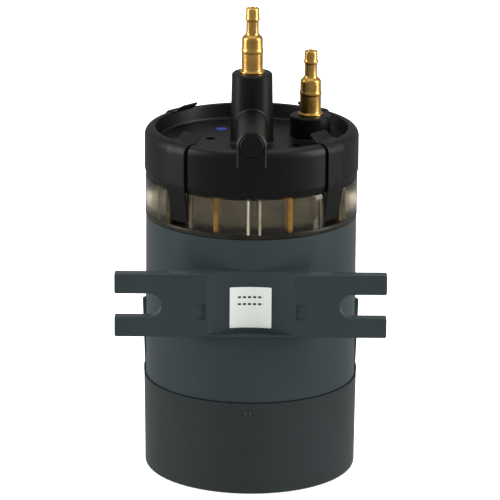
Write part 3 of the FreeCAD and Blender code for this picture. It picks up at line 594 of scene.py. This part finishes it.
# Upright ribs of the ring: angle from +X in degrees, width in mm, kind, which picks the rib's painted copy: pale
# and amber painted light, olive painted shade.
RING_RIBS = (
    (268.4, 1.8, "pale"), (274.6, 1.8, "pale"), (250.4, 3.0, "amber"), (291.8, 3.0, "amber"),
    (209.5, 2.6, "olive"), (332, 2.6, "olive"), (182, 2.6, "olive"), (358, 2.6, "olive"),
    (22, 2.6, "olive"), (76, 2.6, "olive"), (90, 2.6, "olive"), (104, 2.6, "olive"), (158, 2.6, "olive"))


ARC_EASE = 0.4
ARC_STEP_DEGREES = 1.5
BAR_SECTION_STEPS = 24
BAR_LAYERS = 10
BAR_SQUARENESS = 0.35


def merged(name, parts):
    """One mesh of several closed shapes, each given as its points and faces."""
    points, faces, count = [], [], 0
    for part_points, part_faces in parts:
        part_points = part_points.reshape(-1, 3)
        points.append(part_points)
        faces += [[corner + count for corner in face] for face in part_faces]
        count += len(part_points)
    return put_mesh(name, np.concatenate(points), faces)


def arc_of(outline, start, stop):
    """A closed outline of (radius, height) carried round the axis between two angles, with flat ends."""
    profile = eased(outline, ARC_EASE) * MM
    steps = max(3, int(abs(stop - start) / ARC_STEP_DEGREES))
    angle = np.radians(np.linspace(start, stop, steps))[:, None]
    radius, height = profile[None, :, 0], profile[None, :, 1]
    points = np.stack([radius * np.cos(angle), radius * np.sin(angle), height + 0 * angle], axis=-1)
    ring = len(profile)
    faces = grid_faces(steps, ring, wrap_columns=True)[:, ::-1].tolist()
    faces.append(list(range(ring)))
    faces.append(list(range((steps - 1) * ring, steps * ring))[::-1])
    return points, faces


def upright_bar(angle, offset, width, near, far, bottom, top):
    """A rounded bar standing between two radii.

    Its section is a superellipse, cos and sin to a power under 1, and its width draws in near the two
    ends by a quarter of a circle's rise, so the ends are arched.
    """
    turn = np.linspace(0, 2 * math.pi, BAR_SECTION_STEPS, endpoint=False)
    out = np.sign(np.cos(turn)) * np.abs(np.cos(turn)) ** BAR_SQUARENESS
    side = np.sign(np.sin(turn)) * np.abs(np.sin(turn)) ** BAR_SQUARENESS
    level = (1 - np.cos(np.linspace(0, math.pi, BAR_LAYERS))) / 2
    height = bottom + (top - bottom) * level
    end = np.clip(np.minimum(height - bottom, top - height) / (0.5 * width), 0, 1)
    drawn = 0.55 + 0.45 * np.sqrt(1 - (1 - end) ** 2)
    radial = (near + far) / 2 + out[None, :] * (far - near) / 2 + 0 * height[:, None]
    across = offset + side[None, :] * width / 2 * drawn[:, None]
    c, s = math.cos(math.radians(angle)), math.sin(math.radians(angle))
    x, y = radial * c - across * s, radial * s + across * c
    points = np.stack([x, y, height[:, None] + 0 * radial], axis=-1)
    count = BAR_SECTION_STEPS
    faces = grid_faces(BAR_LAYERS, count, wrap_columns=True).tolist()
    faces.append(list(range(count))[::-1])
    faces.append(list(range((BAR_LAYERS - 1) * count, BAR_LAYERS * count)))
    return points * MM, faces


def make_sight_ring():
    """The clear ring as its walls, foot and ribs, with a gap in the outer wall at each clip's pocket; the inner
    wall, foot and ribs are copies of the plastic coloured with painted light and shade.
    """
    bottom, top = RING_LOW[2] / MM, RING_HIGH[2] / MM
    radius = RING_HIGH[0] / MM
    inner = RING_INNER_RADIUS + RING_INNER_WALL
    face = radius - RING_WALL
    foot = bottom + RING_FOOT_HEIGHT
    hinges = [joint for joint in JOINTS.values() if joint["type"] == "hinge"]
    places = sorted(math.degrees(math.atan2(joint["pos_m"][1], joint["pos_m"][0])) % 360 for joint in hinges)
    half = math.degrees(math.asin(POCKET_HALF_WIDTH / radius))
    wall = ((face, foot), (radius, foot), (radius, top), (face, top))
    arcs = [arc_of(wall, place + half, following - half)
            for place, following in zip(places, places[1:] + [places[0] + 360])]
    outer = merged("ring_outer_wall", arcs)
    finish_piece(outer, "canister", "clear_ring", MATERIALS["clear_ring"], "sight_ring")
    shells = (("ring_inner_wall", (RING_INNER_RADIUS, inner, foot, top), RING_INNER_PAINTED_SHADE),
              ("ring_foot_painted_shade", (RING_INNER_RADIUS, radius, bottom, foot), RING_FOOT_PAINTED_SHADE))
    for name, (near, far, low, high), material in shells:
        shell = turned(name, ((near, low), (far, low), (far, high), (near, high)), ease=0.3)
        finish_piece(shell, "canister", "clear_ring", material, "sight_ring")
    materials = {"pale": RING_PALE_PAINTED_LIGHT, "amber": RING_AMBER_PAINTED_LIGHT, "olive": RING_OLIVE_PAINTED_SHADE}
    near, low, high = inner - RIB_OVERLAP, foot - RIB_OVERLAP, top - RIB_TOP_GAP
    for kind, material in materials.items():
        far = radius + PALE_RIB_PROUD if kind == "pale" else face + RIB_OVERLAP
        bars = [upright_bar(angle, 0, width, near, far, low, high)
                for angle, width, rib_kind in RING_RIBS if rib_kind == kind]
        if kind == "olive":
            cheek_place = POCKET_HALF_WIDTH + CHEEK / 2
            bars += [upright_bar(place, side * cheek_place, CHEEK, near, face + RIB_OVERLAP, low, high)
                     for place in places for side in (-1, 1)]
        ribs = merged("ring_%s_ribs" % kind, bars)
        finish_piece(ribs, "canister", "clear_ring", material, "sight_ring")


# The gate's mark on the cup, in mm: its place across and up, the cup's radius there, its size and its rim.
GATE_X = -1.0
GATE_Z = 44.2
GATE_WALL_RADIUS = 56.1
GATE_SIZE = 1.5
GATE_RIM_HEIGHT = 0.45
GATE_FLOOR_HEIGHT = 0.03
GATE_ROOT = 0.4


def make_gate_mark():
    """The small round scar of a moulding gate on an upright wall: a low crater with a raised rim.

    At r and a round its centre the height is h exp(-((r - 0.7 size) / (0.2 size))^2) plus a thin floor,
    standing off the wall's cylinder y = -sqrt(R^2 - x^2); a second sheet just inside the wall closes it.
    """
    columns = 32
    turn = np.linspace(0, 2 * math.pi, columns, endpoint=False)[None, :]
    out = np.linspace(0.04, 1, 12)[:, None] * GATE_SIZE
    across = GATE_X + out * np.cos(turn)
    up = GATE_Z + out * np.sin(turn)
    rim = np.exp(-((out - 0.7 * GATE_SIZE) / (0.2 * GATE_SIZE)) ** 2)
    height = GATE_RIM_HEIGHT * rim + GATE_FLOOR_HEIGHT
    wall = -np.sqrt(GATE_WALL_RADIUS ** 2 - across ** 2)
    front = np.stack([across, wall - height, up], axis=-1)
    back = np.stack([across, wall + GATE_ROOT, up], axis=-1)
    points = np.concatenate([front, back[::-1]])
    rows = len(points)
    faces = grid_faces(rows, columns, wrap_columns=True)[:, ::-1].tolist()
    faces += [list(range(columns)), list(range((rows - 1) * columns, rows * columns))[::-1]]
    mark = put_mesh("cup_gate_mark", points * MM, faces)
    finish_piece(mark, "magnet_cup", "cap_plastic", MATERIALS["cap_plastic"])


make_hose_tails()
make_clips()
make_sight_ring()
make_label()
make_plug()
make_paint_mark()
make_gate_mark()
dress_cad_nodes()


# ---------------------------------------------------------------- floor, light and camera

FLOOR_REACH = 8.0
FLOOR_GLOW = 0.72


def make_floor():
    """One wide flat sheet, pale and faintly lit, not mirrored in the object and sending it no light."""
    corners = FLOOR_REACH * np.array([(-1, -1, 0), (1, -1, 0), (1, 1, 0), (-1, 1, 0)])
    floor = put_mesh("floor", corners, [[0, 1, 2, 3]], smooth=False)
    finish = Finish("floor_paint", (0.90, 0.90, 0.90), 0.8, specular=0.0)
    finish.set("Emission Color", (1, 1, 1, 1))
    finish.set("Emission Strength", FLOOR_GLOW)
    floor.data.materials.append(finish.material)
    floor.visible_glossy = False
    floor.visible_diffuse = False


def add_area_light(name, place, aim, size, power):
    lamp = bpy.data.lights.new(name, "AREA")
    lamp.shape = "RECTANGLE"
    lamp.size, lamp.size_y = size
    lamp.energy = power
    light = bpy.data.objects.new(name, lamp)
    light.location = place
    light.rotation_euler = (Vector(aim) - Vector(place)).to_track_quat("-Z", "Y").to_euler()
    bpy.context.scene.collection.objects.link(light)


# World strengths: seen by the camera, by diffuse rays and by every other ray.
BACKDROP = 1.0
SOFT_FILL = 0.80
MIRRORED_ROOM = 0.26
LIGHT_AIM = (0, 0, 0.12)
# Name, place and size in metres, and power in watts.
SOFTBOXES = (
    ("left_softbox", (-1.3, -0.1, 0.6), (0.5, 1.4), 13),
    ("right_softbox", (1.3, -0.2, 0.6), (0.5, 1.4), 15),
    ("top_softbox", (0, 0.4, 1.7), (1.4, 1.4), 7))


def make_light():
    world = bpy.data.worlds.new("studio")
    world.use_nodes = True
    tree = world.node_tree
    background = tree.nodes["Background"]
    background.inputs["Color"].default_value = (1.0, 1.0, 1.0, 1)
    # the backdrop is white, fills the object with soft light, and mirrors only dimly in it
    rays = tree.nodes.new("ShaderNodeLightPath")
    strength = None
    for ray, level in (("Is Camera Ray", BACKDROP), ("Is Diffuse Ray", SOFT_FILL)):
        step = tree.nodes.new("ShaderNodeMath")
        step.operation = "MULTIPLY_ADD"
        step.inputs[1].default_value = level - MIRRORED_ROOM
        step.inputs[2].default_value = MIRRORED_ROOM
        tree.links.new(rays.outputs[ray], step.inputs[0])
        if strength:
            tree.links.new(strength, step.inputs[2])
        strength = step.outputs[0]
    tree.links.new(strength, background.inputs["Strength"])
    bpy.context.scene.world = world
    for name, place, size, power in SOFTBOXES:
        add_area_light(name, place, LIGHT_AIM, size, power)


CAMERA_TARGET = Vector((-0.0005, 0, 0.1166))
CAMERA_ELEVATION = math.radians(16)
CAMERA_ROLL = math.radians(0.4)
CAMERA_DISTANCE = 1.9
SENSOR_WIDTH = 36
FOCAL_LENGTH = 259.9


def make_camera():
    """A long lens from a little above, with the slight roll that leans the top to the right."""
    data = bpy.data.cameras.new("camera")
    data.sensor_width = SENSOR_WIDTH
    data.lens = FOCAL_LENGTH
    data.clip_start = 0.05
    camera = bpy.data.objects.new("camera", data)
    away = Vector((0, -math.cos(CAMERA_ELEVATION), math.sin(CAMERA_ELEVATION)))
    camera.location = CAMERA_TARGET + away * CAMERA_DISTANCE
    look = (-away).to_track_quat("-Z", "Y")
    roll = Matrix.Rotation(CAMERA_ROLL, 4, "Z")
    camera.rotation_euler = (look.to_matrix().to_4x4() @ roll).to_euler()
    bpy.context.scene.collection.objects.link(camera)
    bpy.context.scene.camera = camera
    bpy.context.scene.view_settings.view_transform = "Standard"


make_floor()
make_light()
make_camera()
